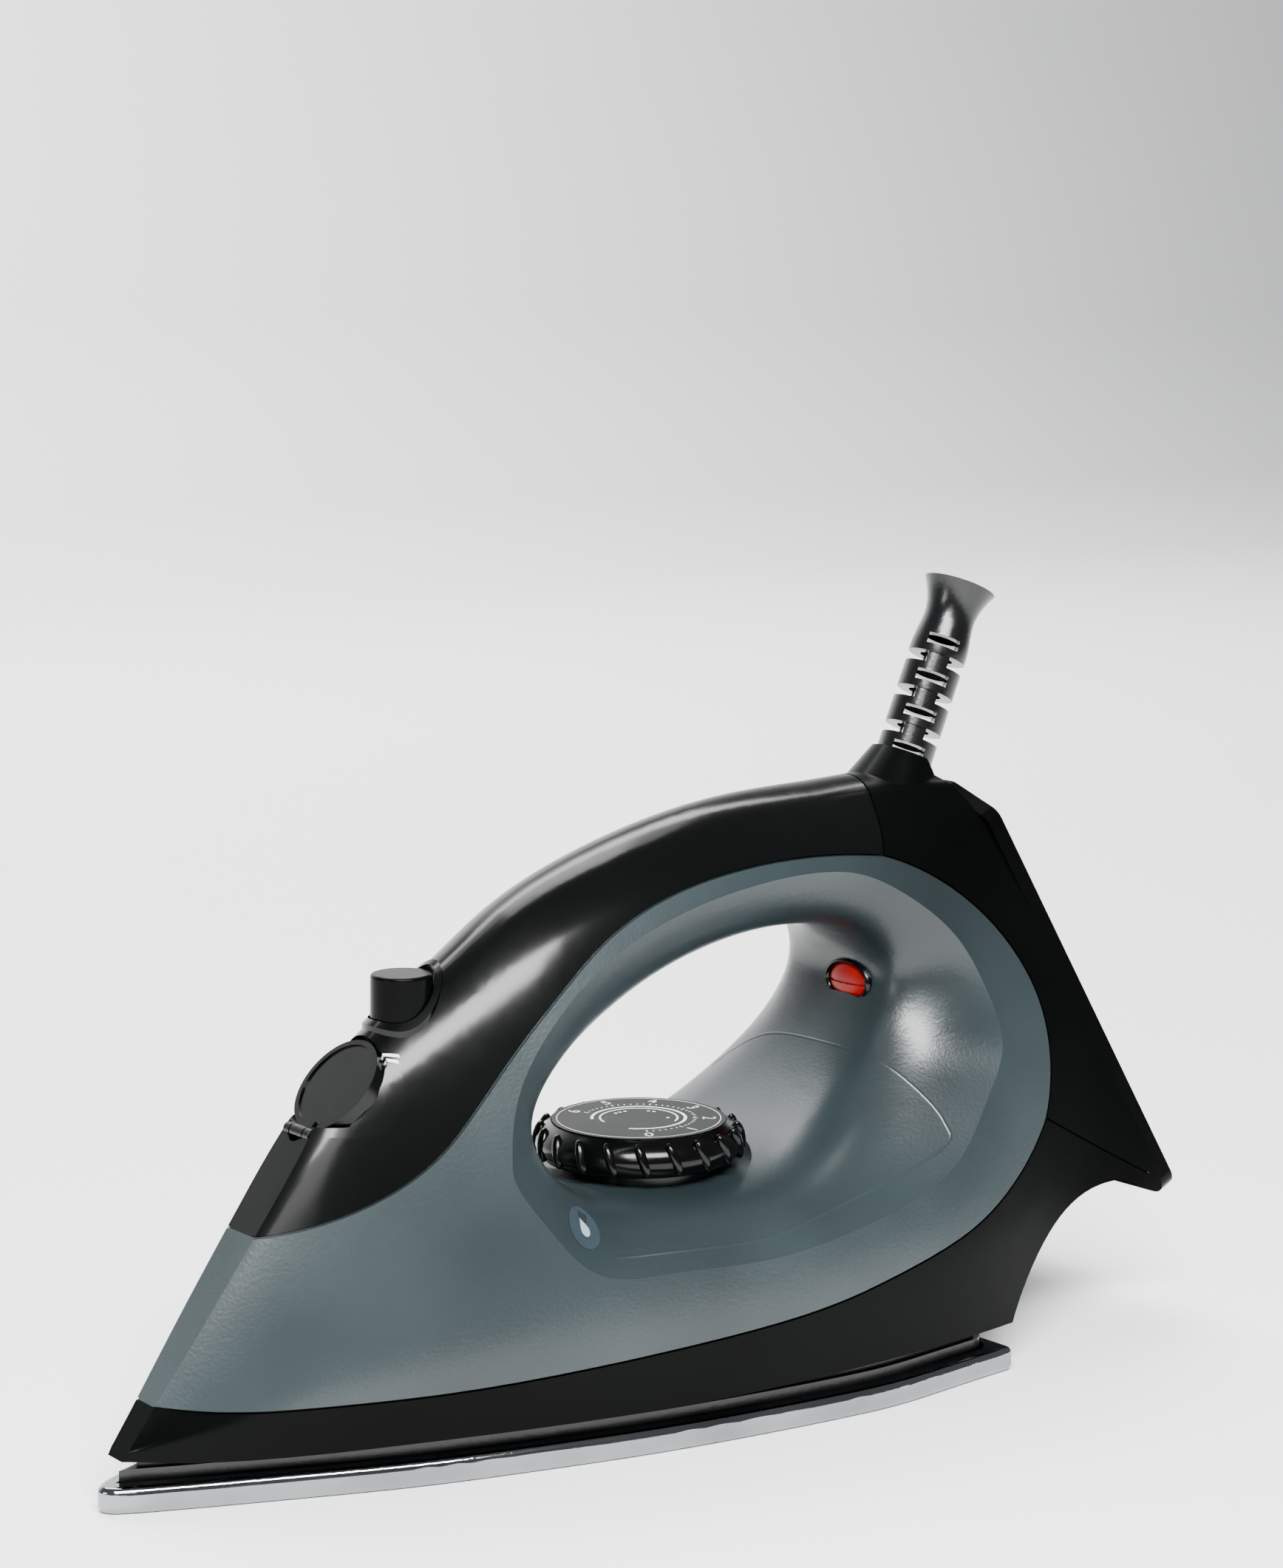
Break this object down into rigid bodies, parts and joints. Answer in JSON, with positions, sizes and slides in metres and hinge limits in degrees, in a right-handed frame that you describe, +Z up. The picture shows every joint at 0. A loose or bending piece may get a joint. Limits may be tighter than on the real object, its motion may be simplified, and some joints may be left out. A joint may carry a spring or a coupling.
{
  "type": "clothes iron",
  "caption": "Steam iron with a pointed soleplate, see-through water tank, closed loop handle, thermostat dial, steam button, hinged filler cap and a raked heel rest.",
  "frame": {"origin": "centre of the bounding box in X and Y, on the plane of the ironing face", "axes": "+X towards the heel, -X towards the pointed nose, +Y to the right-hand side seen from the heel, +Z up"},
  "size_m": [0.273, 0.104, 0.1805],
  "materials": {
    "gloss_black": "glossy black moulded plastic",
    "matte_black": "satin black plastic",
    "smoke_clear": "smoky translucent plastic",
    "dial_print": "glossy black with pale printed marks",
    "chrome_sole": "polished steel sole with a rolled bead",
    "cast_alloy": "die-cast aluminium",
    "steel": "bright steel",
    "shield_black": "black heat-resistant paint",
    "phenolic": "dark phenolic moulding",
    "valve_plastic": "pale acetal",
    "seal_rubber": "silicone rubber",
    "lens_red": "red clear plastic",
    "neon_glass": "small neon lamp"
  },
  "bodies": {
    "iron_body": {"handle_cover": "gloss_black", "rear_cover": "gloss_black", "skirt": "gloss_black", "button_collar": "gloss_black", "dial_ring": "gloss_black", "lamp_bezel": "gloss_black", "heel_plate": "matte_black", "cord_guard": "matte_black", "water_tank": "smoke_clear", "tank_floor": "smoke_clear", "tank_back": "smoke_clear", "tank_roof": "smoke_clear", "filler_funnel": "smoke_clear", "sole_skin": "chrome_sole", "sole_casting": "cast_alloy", "thermostat_body": "cast_alloy", "heating_element": "steel", "heater_pins": "steel", "chamber_cover": "steel", "shield_screws": "steel", "heel_screws": "steel", "terminal_screws": "steel", "clamp_screws": "steel", "cap_hinge_pin": "steel", "thermal_fuse": "steel", "heat_shield": "shield_black", "chassis_plate": "phenolic", "terminal_block": "phenolic", "cord_clamp": "phenolic", "clamp_bar": "phenolic", "heel_bosses": "phenolic", "valve_tube": "valve_plastic", "chamber_gasket": "seal_rubber", "valve_seat": "seal_rubber", "valve_bellows": "seal_rubber", "lamp_lens": "lens_red", "neon_lamp": "neon_glass"},
    "temperature_dial": {"dial": "gloss_black", "dial_face": "dial_print", "thermostat_shaft": "steel"},
    "steam_control": {"steam_button": "gloss_black", "valve_rod": "valve_plastic"},
    "filler_lid": {"filler_cap": "gloss_black", "cap_plug": "seal_rubber"}
  },
  "joints": [
    {"name": "dial_turn", "type": "hinge", "parent": "iron_body", "child": "temperature_dial", "pos_m": [0.0021, 0, 0.055], "axis": [0, 0, 1], "range_deg": [0, 270]},
    {"name": "button_press", "type": "slide", "parent": "iron_body", "child": "steam_control", "axis": [0, 0, -1], "range_m": [0, 0.005], "stiffness_N_per_m": 400, "springref_m": -0.002, "deforming": ["valve_bellows"]},
    {"name": "lid_hinge", "type": "hinge", "parent": "iron_body", "child": "filler_lid", "pos_m": [-0.08749, 0, 0.07135], "axis": [0, -1, 0], "range_deg": [0, 95]}
  ]
}
